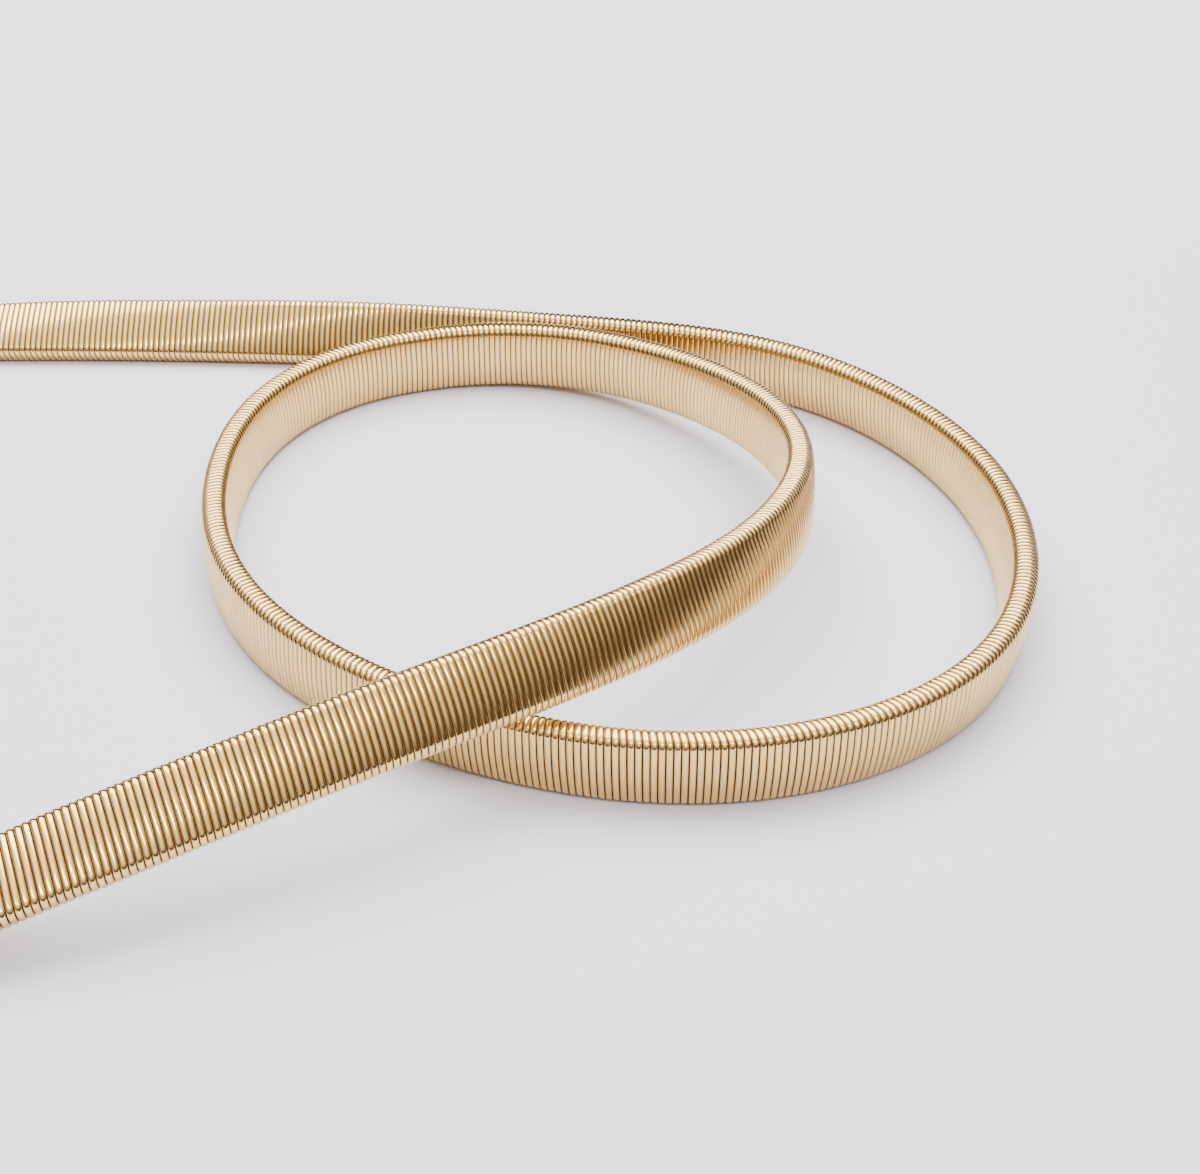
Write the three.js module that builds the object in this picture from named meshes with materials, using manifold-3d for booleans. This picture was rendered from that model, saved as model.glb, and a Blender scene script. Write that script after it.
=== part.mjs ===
// An elastic stretch belt: one long flattened coil of wound gold wire, lying open on its lower edge in one
// and a half loops, with a plain clasp half on each end. Millimetres, +Z up, the surface it lies on at z = 0.
import * as THREE from "three";
import { mergeVertices } from "three/addons/utils/BufferGeometryUtils.js";
import Module from "manifold-3d";

const wasm = await Module();
wasm.setup();

// The coil
const freeLength = 542; // coil between the two clasp halves
const bandWidth = 8;
const bandThickness = 3.3;
const wireThickness = 0.5; // the wall of the hollow band is one wire thick
const cornerRadius = 1.1;
const faceCrown = 0.25; // each broad face bulges this much at its middle
const stationStep = 5; // distance between the sections of the band

// The clasp halves
const gripLength = 6; // coil held inside each clasp half
const capWall = 0.5;
const capRadius = 1.1;
const clearance = 0.3; // gap between pieces
const noseLength = 3; // solid metal between the coil's end and the hook or the slot
const tongueWidth = 6;
const tongueThickness = 1;
const tongueLength = 6; // straight part of the hook, from the nose to the bend
const lipLength = 3.5; // the part of the hook that is folded back
const barThickness = 1.4; // height of the flat frame that the hook takes hold of
const barWidth = 1.6; // metal left on each side of the slot
const slotLength = 6;
const slotRadius = 0.4;

// How finely the curves are cut, and how solids are joined
const bandCornerSteps = 3;
const hollowCornerSteps = 1;
const claspCornerSteps = 4;
const slotCornerSteps = 2;
const bendSteps = 8;
const cutOverrun = 1; // a cutting solid reaches this far past the face it opens
const mergeDistance = 1e-4;

// The route, from the left end at the back to the left end at the front. along is a share of freeLength, turned
// is the degrees turned clockwise since the straight run at the back, lean is how far the upper edge tips
// outwards, in degrees, and lift is the height of the lower edge, as a share of bandWidth.
const route = [
  { along: 0.0, turned: 2, lean: 90, lift: 0 },
  { along: 0.05, turned: 1, lean: 58, lift: 0 },
  { along: 0.1, turned: 4, lean: 43, lift: 0 },
  { along: 0.15, turned: 9, lean: 20, lift: 0 },
  { along: 0.2, turned: 12, lean: 0, lift: 0 },
  { along: 0.25, turned: 48, lean: -7, lift: 0 },
  { along: 0.3, turned: 79, lean: 7, lift: 0 },
  { along: 0.35, turned: 110, lean: 10, lift: 0 },
  { along: 0.4, turned: 156, lean: 8, lift: 0 },
  { along: 0.45, turned: 196, lean: 8, lift: 0 },
  { along: 0.5, turned: 223, lean: 1, lift: 0 },
  { along: 0.55, turned: 257, lean: 3, lift: 0 },
  { along: 0.6, turned: 286, lean: 5, lift: 0 },
  { along: 0.65, turned: 342, lean: 0, lift: 0 },
  { along: 0.7, turned: 396, lean: 0, lift: 0.15 },
  { along: 0.75, turned: 431, lean: 5, lift: 0.5 },
  { along: 0.8, turned: 471, lean: -10, lift: 0.85 },
  { along: 0.85, turned: 500, lean: -27, lift: 1.1 },
  { along: 0.9, turned: 511, lean: -40, lift: 1.04 },
  { along: 0.95, turned: 517, lean: -54, lift: 0.6 },
  { along: 1.0, turned: 527, lean: -90, lift: 0 },
];

const seatLift = capWall + clearance; // the clasp's wall holds the coil this far off the surface
const capWidth = bandWidth + 2 * seatLift;
const capHeight = bandThickness + 2 * seatLift;
const mouthHeight = barThickness + 2 * clearance;
const slotWidth = tongueWidth + 2 * clearance;
const frameWidth = slotWidth + 2 * barWidth;
const noseMiddle = clearance + noseLength / 2; // the hook and the slotted frame start inside the nose
const noseEnd = clearance + noseLength;

const gold = new THREE.MeshStandardMaterial({ color: 0xe0c48c, roughness: 0.3, metalness: 1 });
const claspGold = new THREE.MeshStandardMaterial({ color: 0xdcc088, roughness: 0.22, metalness: 1 });

// Slope of one column at one row, from the rows on each side; flat at the ends of the route.
function slopeAt(column, index) {
  if (index === 0 || index === route.length - 1) return 0;
  const before = route[index - 1];
  const after = route[index + 1];
  return (after[column] - before[column]) / (after.along - before.along);
}

// One column of the route, read smoothly between its rows.
function routeValue(column, along) {
  const place = THREE.MathUtils.clamp(along, 0, 1);
  const next = Math.max(1, route.findIndex((row) => row.along >= place));
  const from = route[next - 1];
  const to = route[next];
  const span = to.along - from.along;
  const t = (place - from.along) / span;
  const eased = t * t * (3 - 2 * t);
  const leave = slopeAt(column, next - 1) * span * t * (1 - t) ** 2;
  const arrive = slopeAt(column, next) * span * t * t * (1 - t);
  return from[column] + (to[column] - from[column]) * eased + leave - arrive;
}

// How much of the clasp's lift the coil has at this place: all of it at the clasps, none past the first row.
function seatShare(along) {
  const reach = route[1].along;
  const nearest = Math.min(along, 1 - along);
  return 1 - THREE.MathUtils.smoothstep(nearest, 0, reach);
}

// Frame of the band at one station: travel direction, outward face normal and the direction across the width.
function bandAxes(along) {
  const heading = -THREE.MathUtils.degToRad(routeValue("turned", along));
  const lean = THREE.MathUtils.degToRad(routeValue("lean", along));
  const forward = new THREE.Vector3(Math.cos(heading), Math.sin(heading), 0);
  const outward = new THREE.Vector3(-Math.sin(heading), Math.cos(heading), 0);
  const up = new THREE.Vector3(0, 0, 1);
  const width = up.clone().multiplyScalar(Math.cos(lean)).addScaledVector(outward, Math.sin(lean));
  const face = outward.multiplyScalar(Math.cos(lean)).addScaledVector(up, -Math.sin(lean));
  return { forward, width, face, lean };
}

// Height of the band's centre line, from the lift in the route and from what the leaning section stands on,
// its lower edge or the middle of its face.
function centreHeight(along) {
  const { lean } = bandAxes(along);
  const tipped = Math.abs(Math.sin(lean));
  const halfTall = (bandWidth / 2 - cornerRadius) * Math.cos(lean);
  const halfDeep = (bandThickness / 2 - faceCrown - cornerRadius) * tipped;
  const support = Math.max(cornerRadius + halfTall + halfDeep, (bandThickness / 2) * tipped);
  const lift = Math.max(0, routeValue("lift", along)) * bandWidth;
  return support + lift + seatLift * seatShare(along);
}

// Sections along the band: the gripped ends run straight on from the ends of the route.
function bandStations() {
  const count = Math.round((freeLength + 2 * gripLength) / stationStep);
  const step = (freeLength + 2 * gripLength) / count;
  const stations = [];
  const point = new THREE.Vector3();
  for (let index = 0; index <= count; index += 1) {
    const along = THREE.MathUtils.clamp((index * step - gripLength) / freeLength, 0, 1);
    const middle = THREE.MathUtils.clamp(((index + 0.5) * step - gripLength) / freeLength, 0, 1);
    const place = point.clone().setZ(centreHeight(along));
    stations.push({ place, ...bandAxes(along) });
    point.addScaledVector(bandAxes(middle).forward, step);
  }
  return stations;
}

// Rounded rectangle round the origin, counter-clockwise, with crowned left and right sides if asked for.
function roundedOutline(sizeX, sizeY, radius, cornerSteps, crown = 0) {
  const insetX = sizeX / 2 - radius - crown;
  const insetY = sizeY / 2 - radius;
  const points = [];
  for (let corner = 0; corner < 4; corner += 1) {
    const signX = corner === 0 || corner === 3 ? 1 : -1;
    const signY = corner < 2 ? 1 : -1;
    for (let step = 0; step <= cornerSteps; step += 1) {
      const angle = (corner + step / cornerSteps) * (Math.PI / 2);
      const x = signX * insetX + radius * Math.cos(angle);
      const y = signY * insetY + radius * Math.sin(angle);
      points.push(new THREE.Vector2(x, y));
    }
    const facePasses = corner === 1 || corner === 3;
    if (facePasses && crown > 0) points.push(new THREE.Vector2((signX * sizeX) / 2, 0));
  }
  return points;
}

// Hollow band: the outer and inner outlines carried through every station, closed by a ring at each end.
function coilGeometry() {
  const outer = roundedOutline(bandThickness, bandWidth, cornerRadius, bandCornerSteps, faceCrown);
  const hollowX = bandThickness - 2 * faceCrown - 2 * wireThickness;
  const hollowY = bandWidth - 2 * wireThickness;
  const inner = roundedOutline(hollowX, hollowY, cornerRadius - wireThickness, hollowCornerSteps);
  const outline = [...outer, ...inner];
  const stations = bandStations();
  const positions = [];
  for (const { place, face, width } of stations) {
    for (const { x, y } of outline) {
      const point = place.clone().addScaledVector(face, x).addScaledVector(width, y);
      positions.push(point.x, point.y, point.z);
    }
  }

  const triangles = [];
  const wall = (first, count, facesOut) => {
    for (let station = 0; station < stations.length - 1; station += 1) {
      for (let index = 0; index < count; index += 1) {
        const a = station * outline.length + first + index;
        const b = station * outline.length + first + ((index + 1) % count);
        const c = a + outline.length;
        const d = b + outline.length;
        triangles.push(...(facesOut ? [a, b, d, a, d, c] : [a, d, b, a, c, d]));
      }
    }
  };
  wall(0, outer.length, true);
  wall(outer.length, inner.length, false);

  const lastRing = (stations.length - 1) * outline.length;
  for (const [a, b, c] of THREE.ShapeUtils.triangulateShape(outer, [inner.slice()])) {
    triangles.push(a, c, b, lastRing + a, lastRing + b, lastRing + c);
  }
  return new THREE.BufferGeometry()
    .setAttribute("position", new THREE.Float32BufferAttribute(positions, 3))
    .setIndex(triangles);
}

// Solid from a closed three.js geometry, for joining and cutting.
function solidFrom(geometry) {
  const plain = geometry.clone();
  plain.deleteAttribute("normal");
  plain.deleteAttribute("uv");
  const merged = mergeVertices(plain, mergeDistance);
  return new wasm.Manifold(
    new wasm.Mesh({
      numProp: 3,
      vertProperties: merged.attributes.position.array,
      triVerts: new Uint32Array(merged.index.array),
    }),
  );
}

function geometryFrom(solid) {
  const mesh = solid.getMesh();
  return new THREE.BufferGeometry()
    .setAttribute("position", new THREE.BufferAttribute(mesh.vertProperties, 3))
    .setIndex(new THREE.BufferAttribute(mesh.triVerts, 1));
}

// Bar along x with the given section, whose x runs across the band and y runs up.
function barAlong(outline, fromX, toX) {
  const shape = new THREE.Shape(outline);
  const bar = new THREE.ExtrudeGeometry(shape, { depth: toX - fromX, bevelEnabled: false });
  bar.rotateX(Math.PI / 2).rotateZ(Math.PI / 2).translate(fromX, 0, 0);
  return bar;
}

// Cap round the end of the coil. x = 0 is the coil's end, the coil comes in from -x, z = 0 is its middle.
function capSolid() {
  const outline = roundedOutline(capWidth, capHeight, capRadius, claspCornerSteps);
  const socketWidth = bandWidth + 2 * clearance;
  const socketHeight = bandThickness + 2 * clearance;
  const socket = roundedOutline(socketWidth, socketHeight, cornerRadius + clearance, claspCornerSteps);
  const body = solidFrom(barAlong(outline, -gripLength, noseEnd));
  const hollow = solidFrom(barAlong(socket, -gripLength - cutOverrun, clearance));
  return body.subtract(hollow);
}

// Hook: a tongue that runs out along the underside and folds back over itself.
function hookGeometry() {
  const bendX = noseEnd + tongueLength;
  const floorZ = -capHeight / 2;
  const innerRadius = mouthHeight / 2;
  const outerRadius = innerRadius + tongueThickness;
  const bendZ = floorZ + outerRadius;
  const side = new THREE.Shape();
  side.moveTo(noseMiddle, floorZ);
  side.lineTo(bendX, floorZ);
  side.absarc(bendX, bendZ, outerRadius, -Math.PI / 2, Math.PI / 2);
  side.lineTo(bendX - lipLength, bendZ + outerRadius);
  side.lineTo(bendX - lipLength, bendZ + innerRadius);
  side.lineTo(bendX, bendZ + innerRadius);
  side.absarc(bendX, bendZ, innerRadius, Math.PI / 2, -Math.PI / 2, true);
  side.lineTo(noseMiddle, bendZ - innerRadius);
  side.closePath();
  const hook = new THREE.ExtrudeGeometry(side, { depth: tongueWidth, bevelEnabled: false, curveSegments: bendSteps });
  hook.rotateX(Math.PI / 2).translate(0, tongueWidth / 2, 0);
  return geometryFrom(capSolid().add(solidFrom(hook)));
}

// Catch: a flat frame whose slot takes the hook.
function catchGeometry() {
  const end = noseEnd + slotLength + barWidth;
  const frameMiddle = (noseMiddle + end) / 2;
  const slotMiddle = noseEnd + slotLength / 2;
  const rim = roundedOutline(end - noseMiddle, frameWidth, barWidth, claspCornerSteps);
  const slot = roundedOutline(slotLength, slotWidth, slotRadius, slotCornerSteps);
  const frame = new THREE.Shape(rim.map((point) => point.setX(point.x + frameMiddle)));
  frame.holes.push(new THREE.Path(slot.map((point) => point.setX(point.x + slotMiddle))));
  const plate = new THREE.ExtrudeGeometry(frame, { depth: barThickness, bevelEnabled: false });
  plate.translate(0, 0, -capHeight / 2);
  return geometryFrom(capSolid().add(solidFrom(plate)));
}

// A clasp half, set where the coil ends and turned to point away from it.
function claspHalf(name, geometry, station, pointsForward) {
  const clasp = new THREE.Mesh(geometry, claspGold);
  clasp.name = name;
  clasp.position.copy(station.place);
  const heading = Math.atan2(station.forward.y, station.forward.x);
  clasp.rotation.z = pointsForward ? heading : heading + Math.PI;
  return clasp;
}

const coil = new THREE.Mesh(coilGeometry(), gold);
coil.name = "coil_band";

const stations = bandStations();
const belt = new THREE.Group();
belt.add(coil);
belt.add(claspHalf("clasp_hook", hookGeometry(), stations[0], false));
belt.add(claspHalf("clasp_catch", catchGeometry(), stations[stations.length - 1], true));

// The origin is under the middle of the belt.
const middle = new THREE.Box3().setFromObject(belt).getCenter(new THREE.Vector3());
belt.position.set(-middle.x, -middle.y, 0);

export default belt;
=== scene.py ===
# Looks of an elastic stretch belt: every turn of its gold wire, its two clasp halves, the pale floor it lies
# on and soft studio light. Metres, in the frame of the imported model.
import math
import bpy
import numpy as np
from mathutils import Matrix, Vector


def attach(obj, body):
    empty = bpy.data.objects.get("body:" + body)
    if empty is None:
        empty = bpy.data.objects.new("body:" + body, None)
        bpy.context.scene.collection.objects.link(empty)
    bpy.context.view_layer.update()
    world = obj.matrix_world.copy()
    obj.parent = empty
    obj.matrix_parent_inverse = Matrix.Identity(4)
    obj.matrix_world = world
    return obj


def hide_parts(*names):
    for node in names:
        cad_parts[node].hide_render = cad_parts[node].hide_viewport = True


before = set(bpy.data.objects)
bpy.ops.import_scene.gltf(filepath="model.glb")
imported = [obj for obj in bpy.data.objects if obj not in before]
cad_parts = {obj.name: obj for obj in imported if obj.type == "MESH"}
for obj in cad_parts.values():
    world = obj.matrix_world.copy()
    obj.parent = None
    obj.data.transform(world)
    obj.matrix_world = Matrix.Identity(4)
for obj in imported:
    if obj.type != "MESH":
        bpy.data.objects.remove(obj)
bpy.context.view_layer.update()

MM = 0.001

# The band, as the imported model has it
FREE_LENGTH = 542 * MM
BAND_WIDTH = 8 * MM
BAND_THICKNESS = 3.3 * MM
CORNER_RADIUS = 1.1 * MM
FACE_CROWN = 0.25 * MM
GRIP_LENGTH = 6 * MM
CAP_WALL = 0.5 * MM
CLEARANCE = 0.3 * MM
SEAT_LIFT = CAP_WALL + CLEARANCE

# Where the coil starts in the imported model, inside the hook's cap
BAND_START = (-70.18 * MM, 61.933 * MM)

# The clasp halves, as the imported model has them
CAP_RADIUS = 1.1 * MM
NOSE_LENGTH = 3 * MM
TONGUE_WIDTH = 6 * MM
TONGUE_THICKNESS = 1 * MM
TONGUE_LENGTH = 6 * MM
LIP_LENGTH = 3.5 * MM
BAR_THICKNESS = 1.4 * MM
BAR_WIDTH = 1.6 * MM
SLOT_LENGTH = 6 * MM
SLOT_RADIUS = 0.4 * MM
NOSE_ROUNDING = 0.6 * MM
CAP_WIDTH = BAND_WIDTH + 2 * SEAT_LIFT
CAP_HEIGHT = BAND_THICKNESS + 2 * SEAT_LIFT
MOUTH_HEIGHT = BAR_THICKNESS + 2 * CLEARANCE
SLOT_WIDTH = TONGUE_WIDTH + 2 * CLEARANCE
FRAME_WIDTH = SLOT_WIDTH + 2 * BAR_WIDTH

# The wire: its section in shares of its half width and half thickness, and how deep in a groove each point
# lies, which sets how much painted shade and roughness that point gets
WIRE_PITCH = 0.68 * MM
WIRE_HALF_THICK = 0.25 * MM
WIRE_HALF_WIDE = 0.346 * MM
WIRE_SECTION = [
    {"side": -1.00, "out": 0.00, "groove": 1.0},
    {"side": -0.82, "out": 0.66, "groove": 0.65},
    {"side": -0.38, "out": 0.96, "groove": 0.0},
    {"side": 0.38, "out": 0.96, "groove": 0.0},
    {"side": 0.82, "out": 0.66, "groove": 0.65},
    {"side": 1.00, "out": 0.00, "groove": 1.0},
    {"side": 0.00, "out": -1.00, "groove": 1.0},
]

# A quarter of one turn, from the middle of the narrow edge, round its full curve, to the middle of the
# crowned face, as shares of the half thickness and half width that the wire's centre follows
QUARTER_TURN = [
    {"thick": 0.000, "wide": 1.000},
    {"thick": 0.214, "wide": 1.000},
    {"thick": 0.446, "wide": 0.983},
    {"thick": 0.644, "wide": 0.934},
    {"thick": 0.775, "wide": 0.860},
    {"thick": 0.830, "wide": 0.790},
    {"thick": 0.955, "wide": 0.387},
    {"thick": 1.000, "wide": 0.000},
]
EDGE_REACH = 0.65
STRETCH_JOINTS = (0.32, 0.66)
TURN_SEED = 11
TURN_ROLL = math.radians(2.5)
TURN_STEP = 0.004 * MM
TURN_PROUD = 0.012 * MM

# The route: shares of the length, degrees turned clockwise, degrees of outward lean, lift as a share of width
ROUTE = [
    {"along": 0.00, "turned": 2, "lean": 90, "lift": 0},
    {"along": 0.05, "turned": 1, "lean": 58, "lift": 0},
    {"along": 0.10, "turned": 4, "lean": 43, "lift": 0},
    {"along": 0.15, "turned": 9, "lean": 20, "lift": 0},
    {"along": 0.20, "turned": 12, "lean": 0, "lift": 0},
    {"along": 0.25, "turned": 48, "lean": -7, "lift": 0},
    {"along": 0.30, "turned": 79, "lean": 7, "lift": 0},
    {"along": 0.35, "turned": 110, "lean": 10, "lift": 0},
    {"along": 0.40, "turned": 156, "lean": 8, "lift": 0},
    {"along": 0.45, "turned": 196, "lean": 8, "lift": 0},
    {"along": 0.50, "turned": 223, "lean": 1, "lift": 0},
    {"along": 0.55, "turned": 257, "lean": 3, "lift": 0},
    {"along": 0.60, "turned": 286, "lean": 5, "lift": 0},
    {"along": 0.65, "turned": 342, "lean": 0, "lift": 0},
    {"along": 0.70, "turned": 396, "lean": 0, "lift": 0.15},
    {"along": 0.75, "turned": 431, "lean": 5, "lift": 0.5},
    {"along": 0.80, "turned": 471, "lean": -10, "lift": 0.85},
    {"along": 0.85, "turned": 500, "lean": -27, "lift": 1.1},
    {"along": 0.90, "turned": 511, "lean": -40, "lift": 1.04},
    {"along": 0.95, "turned": 517, "lean": -54, "lift": 0.6},
    {"along": 1.00, "turned": 527, "lean": -90, "lift": 0},
]
ROUTE_STEP = 0.2 * MM

# The camera, in the frame of the model
CAMERA_PLACE = (36.1 * MM, -200.6 * MM, 127.3 * MM)
CAMERA_PITCH = 31.87
CAMERA_LENS = 68.0
SENSOR_WIDTH = 36.0
CLIP_RANGE = (0.005, 20)


def add_camera():
    data = bpy.data.cameras.new("camera")
    data.lens = CAMERA_LENS
    data.sensor_width = SENSOR_WIDTH
    data.sensor_fit = "HORIZONTAL"
    data.clip_start, data.clip_end = CLIP_RANGE
    camera = bpy.data.objects.new("camera", data)
    camera.location = CAMERA_PLACE
    camera.rotation_euler = (math.radians(90 - CAMERA_PITCH), 0, 0)
    bpy.context.scene.collection.objects.link(camera)
    bpy.context.scene.camera = camera


def route_value(column, along):
    """One column of the route, read smoothly between its rows."""
    rows = np.array([row["along"] for row in ROUTE])
    values = np.array([row[column] for row in ROUTE], dtype=float)
    slopes = np.zeros(len(rows))
    slopes[1:-1] = (values[2:] - values[:-2]) / (rows[2:] - rows[:-2])
    place = np.clip(along, 0, 1)
    index = np.clip(np.searchsorted(rows, place) - 1, 0, len(rows) - 2)
    span = rows[index + 1] - rows[index]
    t = (place - rows[index]) / span
    eased = t * t * (3 - 2 * t)
    leave = slopes[index] * span * t * (1 - t) ** 2
    arrive = slopes[index + 1] * span * t * t * (1 - t)
    return values[index] + (values[index + 1] - values[index]) * eased + leave - arrive


def band_axes(along):
    """Outward face normal, direction across the width and lean, for every share of the length given."""
    heading = -np.radians(route_value("turned", along))
    lean = np.radians(route_value("lean", along))
    zero = np.zeros_like(heading)
    outward = np.stack([-np.sin(heading), np.cos(heading), zero], axis=-1)
    up = np.stack([zero, zero, zero + 1], axis=-1)
    across = up * np.cos(lean)[:, None] + outward * np.sin(lean)[:, None]
    face = outward * np.cos(lean)[:, None] - up * np.sin(lean)[:, None]
    return face, across, lean


def centre_height(along, lean):
    """Height of the band's centre line, from its lift and from the edge or face that it stands on."""
    tipped = np.abs(np.sin(lean))
    half_tall = (BAND_WIDTH / 2 - CORNER_RADIUS) * np.cos(lean)
    half_deep = (BAND_THICKNESS / 2 - FACE_CROWN - CORNER_RADIUS) * tipped
    support = np.maximum(CORNER_RADIUS + half_tall + half_deep, BAND_THICKNESS / 2 * tipped)
    lift = np.maximum(0, route_value("lift", along)) * BAND_WIDTH
    nearest = np.clip(np.minimum(along, 1 - along) / ROUTE[1]["along"], 0, 1)
    seat = SEAT_LIFT * (1 - nearest * nearest * (3 - 2 * nearest))
    return support + lift + seat


def band_centre():
    """Distance along the coil and the centre line there, before it is set in the frame."""
    length = FREE_LENGTH + 2 * GRIP_LENGTH
    distance = np.linspace(0, length, int(length / ROUTE_STEP) + 1)
    step = distance[1] - distance[0]
    along = np.clip((distance - GRIP_LENGTH) / FREE_LENGTH, 0, 1)
    middle = np.clip((distance[:-1] + step / 2 - GRIP_LENGTH) / FREE_LENGTH, 0, 1)
    heading = -np.radians(route_value("turned", middle))
    x = np.concatenate([[0], np.cumsum(np.cos(heading))]) * step
    y = np.concatenate([[0], np.cumsum(np.sin(heading))]) * step
    lean = band_axes(along)[2]
    return distance, np.stack([x, y, centre_height(along, lean)], axis=-1)


def wire_outline():
    """One turn of the wire's centre round the band: its x, y and outward normal, and how far the turn has
    moved on by then, as a share of the pitch: the wire crosses the faces square and moves on over the edges."""
    half_thick = BAND_THICKNESS / 2 - WIRE_HALF_THICK
    half_wide = BAND_WIDTH / 2 - WIRE_HALF_THICK
    quarter = [(row["thick"] * half_thick, row["wide"] * half_wide) for row in QUARTER_TURN]
    upper_right = quarter[::-1]
    upper_left = [(-x, y) for x, y in quarter]
    lower_left = [(-x, -y) for x, y in quarter[::-1]]
    lower_right = [(x, -y) for x, y in quarter]
    points = np.array(upper_right[:-1] + upper_left[:-1] + lower_left[:-1] + lower_right[:-1])
    chord = np.roll(points, -1, axis=0) - np.roll(points, 1, axis=0)
    normal = np.stack([chord[:, 1], -chord[:, 0]], axis=-1)
    normal /= np.linalg.norm(normal, axis=1)[:, None]
    crossed = np.clip(points[:, 0] / (EDGE_REACH * half_thick), -1, 1)
    count = len(points)
    upper = np.arange(count) < count // 2
    moved = np.where(upper, (1 - crossed) / 4, (3 + crossed) / 4)
    return np.concatenate([points, normal], axis=1), moved


def turn_wobble(turns, per_turn, size, draws):
    """A small amount that differs from turn to turn and changes smoothly between them."""
    amounts = size * draws.uniform(-1, 1, turns + 1)
    return np.interp(np.arange(turns * per_turn) / per_turn, np.arange(turns + 1), amounts)


def wire_path():
    """Centre of the wire, its outward and sideways directions, and its distance along the band."""
    distance, centre = band_centre()
    outline, moved = wire_outline()
    per_turn = len(outline)
    turns = int(distance[-1] / WIRE_PITCH) - 1
    start = (distance[-1] - turns * WIRE_PITCH) / 2
    draws = np.random.default_rng(TURN_SEED)
    travelled = (start + (np.arange(turns)[:, None] + moved[None, :]) * WIRE_PITCH).ravel()
    travelled = travelled + turn_wobble(turns, per_turn, TURN_STEP, draws)
    proud = turn_wobble(turns, per_turn, TURN_PROUD, draws) - TURN_PROUD
    roll = turn_wobble(turns, per_turn, TURN_ROLL, draws)
    repeated = np.tile(outline, (turns, 1))
    place = np.stack([np.interp(travelled, distance, centre[:, axis]) for axis in range(3)], axis=-1)
    face, across, _ = band_axes((travelled - GRIP_LENGTH) / FREE_LENGTH)
    normal = face * repeated[:, 2:3] + across * repeated[:, 3:4]
    path = place + face * repeated[:, 0:1] + across * repeated[:, 1:2] + normal * proud[:, None]
    tangent = np.gradient(path, axis=0)
    tangent /= np.linalg.norm(tangent, axis=1)[:, None]
    normal = normal - tangent * (normal * tangent).sum(axis=1)[:, None]
    normal /= np.linalg.norm(normal, axis=1)[:, None]
    side = np.cross(tangent, normal)
    turn_cos = np.cos(roll)[:, None]
    turn_sin = np.sin(roll)[:, None]
    outward = normal * turn_cos + side * turn_sin
    sideways = side * turn_cos - normal * turn_sin
    return path, outward, sideways, travelled


def wire_piece(name, path, outward, sideways, travelled):
    """A closed wire along one stretch of the path."""
    sides = len(WIRE_SECTION)
    thick = np.array([row["out"] for row in WIRE_SECTION]) * WIRE_HALF_THICK
    wide = np.array([row["side"] for row in WIRE_SECTION]) * WIRE_HALF_WIDE
    rings = path[:, None, :] + outward[:, None, :] * thick[None, :, None]
    rings = rings + sideways[:, None, :] * wide[None, :, None]
    count = len(path)
    first = np.arange(count - 1)[:, None] * sides
    here = np.arange(sides)[None, :]
    following = (here + 1) % sides
    quads = np.stack([first + here, first + following, first + sides + following,
                      first + sides + here], axis=-1).reshape(-1, 4)
    caps = [list(range(sides))[::-1], list(range((count - 1) * sides, count * sides))]
    mesh = bpy.data.meshes.new(name)
    mesh.from_pydata(rings.reshape(-1, 3).tolist(), [], quads.tolist() + caps)
    mesh.polygons.foreach_set("use_smooth", [True] * len(quads) + [False] * len(caps))
    groove = np.tile([row["groove"] for row in WIRE_SECTION], count)
    for label, values in (("along_band", np.repeat(travelled, sides)), ("groove", groove)):
        layer = mesh.attributes.new(label, "FLOAT", "POINT")
        layer.data.foreach_set("value", values)
    mesh.update()
    piece = bpy.data.objects.new(name, mesh)
    bpy.context.scene.collection.objects.link(piece)
    return piece


def wind_coil(material):
    """The whole coil, in three stretches that join under the band's lower edge, where no joint shows."""
    path, *rest = wire_path()
    path = path + np.array([*BAND_START, 0])
    per_turn = 4 * (len(QUARTER_TURN) - 1)
    turns = len(path) // per_turn
    lower_edge = 3 * per_turn // 4
    cuts = [0] + [int(share * turns) * per_turn + lower_edge for share in STRETCH_JOINTS] + [len(path) - 1]
    for name, begin, end in zip(("coil_back_run", "coil_loops", "coil_front_run"), cuts[:-1], cuts[1:]):
        part = slice(begin, end + 1)
        piece = wire_piece(name, path[part], *(values[part] for values in rest))
        piece.data.materials.append(material)
        claim(piece, "coil_band")


def claim(piece, node):
    """Fixes a piece to the part and hides the solid that it replaces."""
    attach(piece, "root")
    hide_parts(node)


class Value:
    """A node's output, whose sums and products add Math nodes."""

    def __init__(self, recipe, socket):
        self.recipe = recipe
        self.socket = socket

    def __add__(self, other):
        return self.recipe.maths("ADD", self, other)

    def __mul__(self, other):
        return self.recipe.maths("MULTIPLY", self, other)

    __radd__ = __add__
    __rmul__ = __mul__


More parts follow.
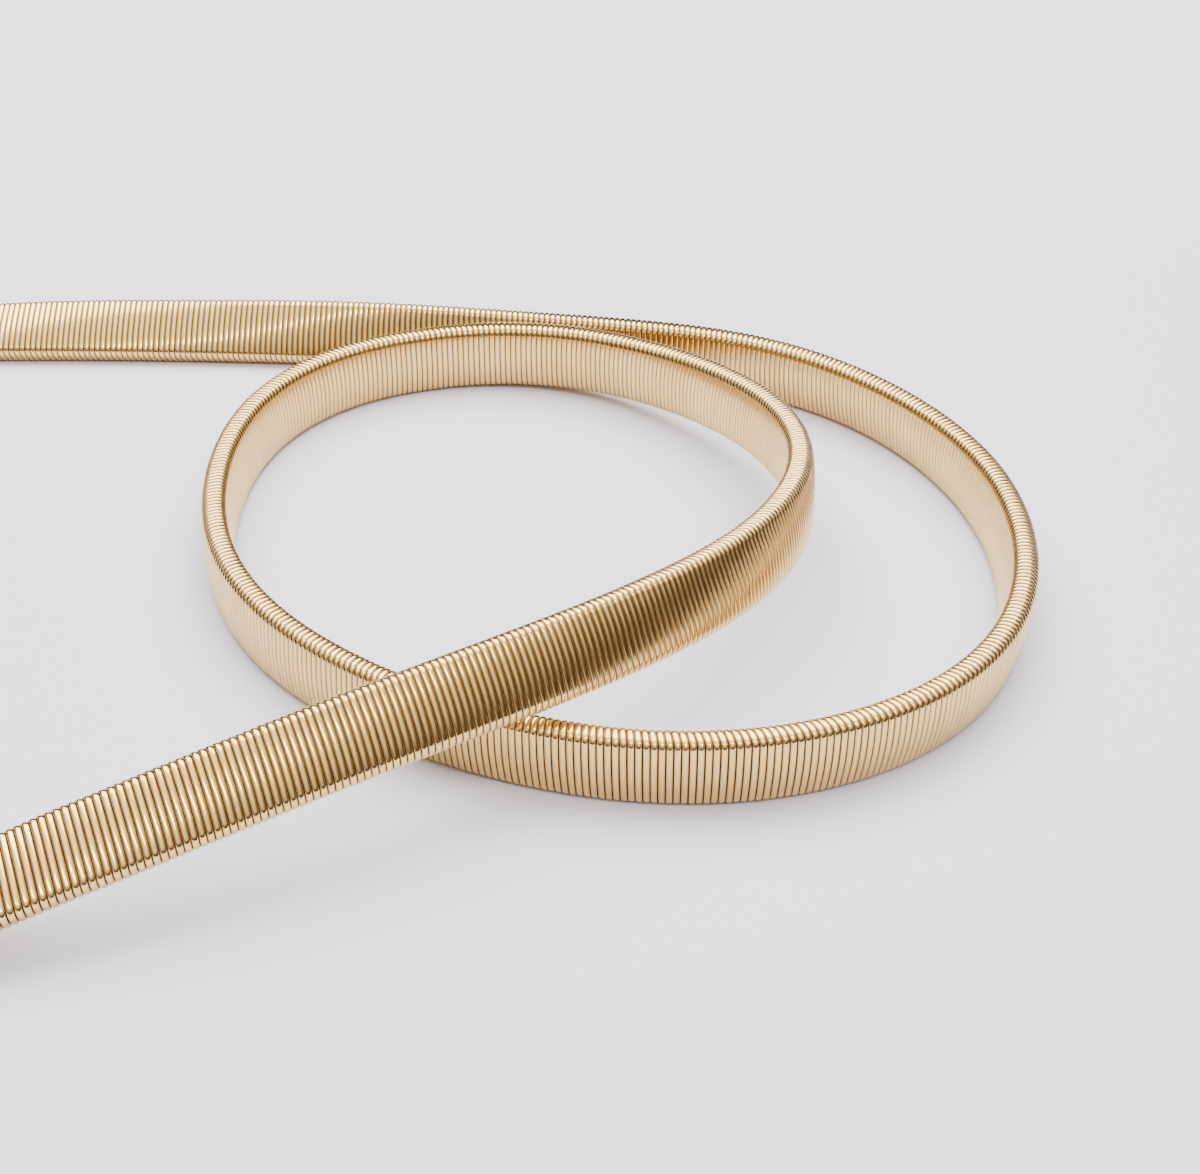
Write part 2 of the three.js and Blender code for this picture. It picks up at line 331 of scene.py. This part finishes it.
class Recipe:
    """A material's or the world's node tree, filled by node()."""

    def __init__(self, owner):
        owner.use_nodes = True
        self.tree = owner.node_tree
        self.tree.nodes.clear()

    def node(self, kind, settings=None, inputs=None):
        made = self.tree.nodes.new(kind)
        for key, value in (settings or {}).items():
            if key == "stops":
                self.set_stops(made.color_ramp, value)
            else:
                setattr(made, key, value)
        for key, value in (inputs or {}).items():
            if isinstance(value, Value):
                self.tree.links.new(value.socket, made.inputs[key])
            else:
                made.inputs[key].default_value = value
        return made

    def set_stops(self, ramp, stops):
        while len(ramp.elements) < len(stops):
            ramp.elements.new(0.5)
        for element, (position, colour) in zip(ramp.elements, stops):
            element.position = position
            element.color = (*colour, 1)

    def output(self, made, name):
        return Value(self, made.outputs[name])

    def maths(self, operation, first, second):
        made = self.node("ShaderNodeMath", {"operation": operation}, {0: first, 1: second})
        return self.output(made, 0)

    def blend(self, factor, first, second):
        made = self.node("ShaderNodeMix", {"data_type": "RGBA"}, {0: factor, 6: first, 7: second})
        return Value(self, made.outputs[2])

    def noise(self, vector, scale, detail=2):
        made = self.node("ShaderNodeTexNoise", {}, {"Vector": vector, "Scale": scale, "Detail": detail})
        return self.output(made, 0)

    def place(self):
        return self.output(self.node("ShaderNodeTexCoord"), "Object")

    def attribute(self, name):
        return self.output(self.node("ShaderNodeAttribute", {"attribute_name": name}), "Fac")


# The gold: its tones, the painted shade for the grooves between turns, the scale of its marks, and what each
# kind of mark and the grooves add to the tone and the roughness
PALE_GOLD = (0.87, 0.63, 0.26, 1)
WARM_GOLD = (0.81, 0.54, 0.19, 1)
# Painted shade: the dark brown that the grooves between turns are tinted towards
GROOVE_PAINTED_SHADE = (0.20, 0.08, 0.06, 1)
WIRE_SCALES = {"patches": 160, "marks": 4200}
# The groove tone is how strongly the painted shade darkens the grooves
WIRE_TONES = {"patches": 0.5, "turn": 0.4, "groove": 0.65}
WIRE_ROUGHNESS = {"least": 0.09, "patches": 0.05, "marks": 0.05, "turn": 0.03, "groove": 0.2}
WIRE_BUMP = {"Strength": 0.06, "Distance": 0.02 * MM}
CLASP_SCALES = {"patches": 220, "scratches": 2600}
CLASP_ROUGHNESS = {"least": 0.14, "patches": 0.1, "scratches": 0.08}
CLASP_BUMP = {"Strength": 0.05, "Distance": 0.03 * MM}


def wire_gold():
    """Bright pale gold wire: each turn a little different, faint drawing marks along it, and painted shade
    darkening the grooves between turns.
    """
    material = bpy.data.materials.new("coil_gold")
    recipe = Recipe(material)
    place = recipe.place()
    along = recipe.attribute("along_band")
    turn = recipe.node("ShaderNodeTexWhiteNoise", {"noise_dimensions": "1D"},
                       {"W": recipe.maths("FLOOR", along * (1 / WIRE_PITCH), 0)})
    tone = recipe.output(turn, "Value")
    patches = recipe.noise(place, WIRE_SCALES["patches"], 3)
    marks = recipe.noise(place, WIRE_SCALES["marks"], 2)
    warmth = patches * WIRE_TONES["patches"] + tone * WIRE_TONES["turn"]
    colour = recipe.blend(warmth, PALE_GOLD, WARM_GOLD)
    groove = recipe.attribute("groove")
    # Painted shade: each point is blended towards dark brown by how deep in a groove it lies
    colour = recipe.blend(groove * groove * WIRE_TONES["groove"], colour, GROOVE_PAINTED_SHADE)
    rough = WIRE_ROUGHNESS
    roughness = rough["least"] + patches * rough["patches"] + marks * rough["marks"]
    roughness = roughness + tone * rough["turn"] + groove * rough["groove"]
    bump = recipe.node("ShaderNodeBump", {}, {"Height": marks, **WIRE_BUMP})
    surface = recipe.node("ShaderNodeBsdfPrincipled", {}, {
        "Base Color": colour,
        "Metallic": 1.0,
        "Roughness": roughness,
        "Normal": recipe.output(bump, "Normal"),
    })
    recipe.node("ShaderNodeOutputMaterial", {}, {"Surface": recipe.output(surface, "BSDF")})
    return material


def clasp_gold():
    """Polished gold plate with soft handling marks."""
    material = bpy.data.materials.new("clasp_gold")
    recipe = Recipe(material)
    place = recipe.place()
    patches = recipe.noise(place, CLASP_SCALES["patches"], 3)
    scratches = recipe.noise(place, CLASP_SCALES["scratches"], 4)
    colour = recipe.blend(patches, PALE_GOLD, WARM_GOLD)
    rough = CLASP_ROUGHNESS
    roughness = rough["least"] + patches * rough["patches"] + scratches * rough["scratches"]
    bump = recipe.node("ShaderNodeBump", {}, {"Height": scratches, **CLASP_BUMP})
    surface = recipe.node("ShaderNodeBsdfPrincipled", {}, {
        "Base Color": colour,
        "Metallic": 1.0,
        "Roughness": roughness,
        "Normal": recipe.output(bump, "Normal"),
    })
    recipe.node("ShaderNodeOutputMaterial", {}, {"Surface": recipe.output(surface, "BSDF")})
    return material


# How finely the clasp halves are cut, and how closely a face or edge must point along an axis to be chosen
EDGE_SOFTENING = 0.14 * MM
TOUCH = 0.001 * MM
ALIGNED = 0.99
CAP_STEPS = 6
NOSE_STEPS = 4
BEND_STEPS = 16
RIM_STEPS = 6
SLOT_STEPS = 4
SOFTENING_STEPS = 2
SOFTENED_FROM = math.radians(40)
SHADED_FLAT_FROM = math.radians(35)


def edit_mesh(piece, mode, chosen):
    """Opens a piece for editing with only the faces or edges chosen by the test selected."""
    bpy.ops.object.select_all(action="DESELECT")
    bpy.context.view_layer.objects.active = piece
    piece.select_set(True)
    bpy.ops.object.mode_set(mode="EDIT")
    bpy.ops.mesh.select_mode(type=mode)
    bpy.ops.mesh.select_all(action="DESELECT")
    bpy.ops.object.mode_set(mode="OBJECT")
    corners = piece.data.vertices
    for item in piece.data.polygons if mode == "FACE" else piece.data.edges:
        item.select = chosen(item, [corners[index].co for index in item.vertices])
    bpy.ops.object.mode_set(mode="EDIT")


def stop_editing():
    bpy.ops.mesh.select_all(action="SELECT")
    bpy.ops.mesh.remove_doubles(threshold=TOUCH)
    bpy.ops.mesh.normals_make_consistent(inside=False)
    bpy.ops.object.mode_set(mode="OBJECT")


def faces_towards(direction):
    return lambda face, corners: face.normal.dot(Vector(direction)) > ALIGNED


def runs_along(axis):
    return lambda edge, corners: abs((corners[0] - corners[1]).normalized()[axis]) > ALIGNED


def push(direction):
    bpy.ops.mesh.extrude_region_move(TRANSFORM_OT_translate={"value": direction})


def clasp_cap(name):
    """Rounded cap on the coil's end. x = 0 is the coil's end, and the coil comes in from -x."""
    nose_end = CLEARANCE + NOSE_LENGTH
    length = nose_end + GRIP_LENGTH
    bpy.ops.mesh.primitive_cube_add(size=1, location=((nose_end - GRIP_LENGTH) / 2, 0, 0),
                                    scale=(length, CAP_WIDTH, CAP_HEIGHT))
    cap = bpy.context.object
    cap.name = name
    bpy.ops.object.transform_apply(location=True, rotation=False, scale=True)
    edit_mesh(cap, "EDGE", runs_along(0))
    bpy.ops.mesh.bevel(offset=CAP_RADIUS, segments=CAP_STEPS)
    stop_editing()
    edit_mesh(cap, "FACE", faces_towards((-1, 0, 0)))
    bpy.ops.mesh.inset(thickness=CAP_WALL)
    push((GRIP_LENGTH + CLEARANCE, 0, 0))
    stop_editing()
    points_out = faces_towards((1, 0, 0))
    edit_mesh(cap, "FACE", lambda face, corners: points_out(face, corners) and corners[0].x > nose_end - TOUCH)
    bpy.ops.mesh.bevel(offset=NOSE_ROUNDING, segments=NOSE_STEPS)
    stop_editing()
    return cap


def hook_tongue():
    """Flat tongue along the underside that folds back over itself."""
    start = CLEARANCE + NOSE_LENGTH / 2
    bend_x = CLEARANCE + NOSE_LENGTH + TONGUE_LENGTH
    floor_z = -CAP_HEIGHT / 2
    bend_z = floor_z + TONGUE_THICKNESS + MOUTH_HEIGHT / 2
    bpy.ops.mesh.primitive_plane_add(size=1, location=(start, 0, floor_z + TONGUE_THICKNESS / 2),
                                     rotation=(0, math.radians(90), 0))
    tongue = bpy.context.object
    bpy.ops.object.transform_apply(location=False, rotation=True, scale=False)
    tongue.scale = (1, TONGUE_WIDTH, TONGUE_THICKNESS)
    bpy.ops.object.transform_apply(location=True, rotation=False, scale=True)
    edit_mesh(tongue, "FACE", lambda face, corners: True)
    push((bend_x - start, 0, 0))
    bpy.ops.mesh.spin(steps=BEND_STEPS, angle=math.pi, center=(bend_x, 0, bend_z), axis=(0, 1, 0))
    push((-LIP_LENGTH, 0, 0))
    stop_editing()
    return tongue


def catch_plate():
    """Flat frame whose slot takes the hook."""
    slot_start = CLEARANCE + NOSE_LENGTH
    start = slot_start - BAR_WIDTH
    end = slot_start + SLOT_LENGTH + BAR_WIDTH
    floor_z = -CAP_HEIGHT / 2
    bpy.ops.mesh.primitive_plane_add(size=1, location=((start + end) / 2, 0, floor_z))
    plate = bpy.context.object
    plate.scale = (end - start, FRAME_WIDTH, 1)
    bpy.ops.object.transform_apply(location=True, rotation=False, scale=True)
    edit_mesh(plate, "FACE", lambda face, corners: True)
    bpy.ops.mesh.inset(thickness=BAR_WIDTH)
    bpy.ops.mesh.delete(type="FACE")
    bpy.ops.mesh.select_all(action="SELECT")
    push((0, 0, BAR_THICKNESS))
    stop_editing()
    corners_to_round = ((end, BAR_WIDTH, RIM_STEPS), (end - BAR_WIDTH, SLOT_RADIUS, SLOT_STEPS))
    for reach, radius, segments in corners_to_round:
        near = lambda edge, corners: runs_along(2)(edge, corners) and abs(corners[0].x - reach) < TOUCH
        edit_mesh(plate, "EDGE", near)
        bpy.ops.mesh.bevel(offset=radius, segments=segments)
        stop_editing()
    return plate


def finish_modifier(piece, kind, **settings):
    bpy.context.view_layer.objects.active = piece
    modifier = piece.modifiers.new("shaping", kind)
    for key, value in settings.items():
        setattr(modifier, key, value)
    bpy.ops.object.modifier_apply(modifier=modifier.name)


def add_clasps(material):
    """Both clasp halves, each set on its end of the coil, with softened edges."""
    _, centre = band_centre()
    headings = -np.radians(route_value("turned", np.array([0.0, 1.0])))
    ends = [("hook_half", "clasp_hook", hook_tongue, centre[0], headings[0] + math.pi),
            ("catch_half", "clasp_catch", catch_plate, centre[-1], headings[1])]
    for name, node, make_front, end, heading in ends:
        half = clasp_cap(name)
        front = make_front()
        finish_modifier(half, "BOOLEAN", operation="UNION", solver="EXACT", object=front)
        bpy.data.objects.remove(front)
        finish_modifier(half, "BEVEL", width=EDGE_SOFTENING, segments=SOFTENING_STEPS, limit_method="ANGLE",
                        angle_limit=SOFTENED_FROM)
        bpy.ops.object.select_all(action="DESELECT")
        half.select_set(True)
        bpy.ops.object.shade_smooth_by_angle(angle=SHADED_FLAT_FROM)
        half.rotation_euler.z = heading
        half.location = (end[0] + BAND_START[0], end[1] + BAND_START[1], end[2])
        bpy.ops.object.transform_apply(location=True, rotation=True, scale=True)
        half.data.materials.append(material)
        claim(half, node)


# The stage: the floor, a low dark card out of the picture, two lights, and the room's shades by height
FLOOR_SIZE = 8.0
FLOOR_DROP = 0.02 * MM
FLOOR_COLOUR = (0.735, 0.73, 0.82, 1)
FLOOR_ROUGHNESS = 0.75
CARD_PLACE = (138 * MM, 15 * MM)
CARD_SIZE = (150 * MM, 28 * MM)
CARD_COLOUR = (0.05, 0.025, 0.03, 1)
CARD_ROUGHNESS = 0.9
LIGHTS = [
    {"name": "overhead", "place": (0.0, 0.45, 0.9), "aim": (0.0, 0.0, 0.0), "size": (1.3, 1.0),
     "power": 29.0, "colour": (1.0, 1.0, 1.0)},
    {"name": "strip", "place": (0.25, -0.57, 0.82), "aim": (0.25, 0.0, 0.0), "size": (0.7, 0.03),
     "power": 4.0, "colour": (1.0, 0.98, 0.95)},
]
ROOM_SHADES = [
    (0.0, (0.5, 0.5, 0.52)),
    (0.48, (0.035, 0.016, 0.02)),
    (0.61, (0.06, 0.03, 0.032)),
    (0.69, (0.26, 0.19, 0.16)),
    (0.77, (1.3, 1.24, 1.2)),
    (0.88, (2.2, 2.16, 2.14)),
    (1.0, (3.8, 3.8, 3.85)),
]
ROOM_TILT = -0.06
ROOM_STRENGTH = 0.7


def stage_piece(piece, name, colour, roughness):
    """Names a plane of the stage and gives it a plain matt colour."""
    piece.name = name
    material = bpy.data.materials.new(name)
    recipe = Recipe(material)
    surface = recipe.node("ShaderNodeBsdfPrincipled", {}, {"Base Color": colour, "Roughness": roughness})
    recipe.node("ShaderNodeOutputMaterial", {}, {"Surface": recipe.output(surface, "BSDF")})
    piece.data.materials.append(material)


def add_floor():
    bpy.ops.mesh.primitive_plane_add(size=FLOOR_SIZE, location=(0, 0, -FLOOR_DROP))
    stage_piece(bpy.context.object, "floor", FLOOR_COLOUR, FLOOR_ROUGHNESS)


def add_card():
    """Low dark card at the right, out of the picture, whose reflection darkens the strand that faces it."""
    bpy.ops.mesh.primitive_plane_add(size=1, location=(*CARD_PLACE, CARD_SIZE[1] / 2),
                                     rotation=(math.radians(90), 0, math.radians(90)))
    card = bpy.context.object
    card.scale = (*CARD_SIZE, 1)
    card.visible_camera = False
    stage_piece(card, "dark_card", CARD_COLOUR, CARD_ROUGHNESS)


def add_light(name, place, aim, size, power, colour):
    data = bpy.data.lights.new(name, "AREA")
    data.shape = "RECTANGLE"
    data.size = size[0]
    data.size_y = size[1]
    data.energy = power
    data.color = colour
    light = bpy.data.objects.new(name, data)
    light.location = place
    light.rotation_euler = (Vector(aim) - Vector(place)).to_track_quat("-Z", "Y").to_euler()
    bpy.context.scene.collection.objects.link(light)


def add_studio():
    """Soft light from above and behind, a strip light in front, and a room that is dark round its horizon."""
    for light in LIGHTS:
        add_light(**light)
    world = bpy.data.worlds.new("room")
    bpy.context.scene.world = world
    recipe = Recipe(world)
    direction = recipe.output(recipe.node("ShaderNodeTexCoord"), "Generated")
    parts = recipe.node("ShaderNodeSeparateXYZ", {}, {0: direction})
    height = recipe.output(parts, "Z") * 0.5 + recipe.output(parts, "Y") * ROOM_TILT + 0.5
    shades = recipe.node("ShaderNodeValToRGB", {"stops": ROOM_SHADES}, {"Fac": height})
    background = recipe.node("ShaderNodeBackground", {}, {
        "Color": recipe.output(shades, "Color"),
        "Strength": ROOM_STRENGTH,
    })
    recipe.node("ShaderNodeOutputWorld", {}, {"Surface": recipe.output(background, "Background")})


bpy.ops.object.select_all(action="DESELECT")
add_camera()
add_floor()
add_card()
add_studio()
wind_coil(wire_gold())
add_clasps(clasp_gold())
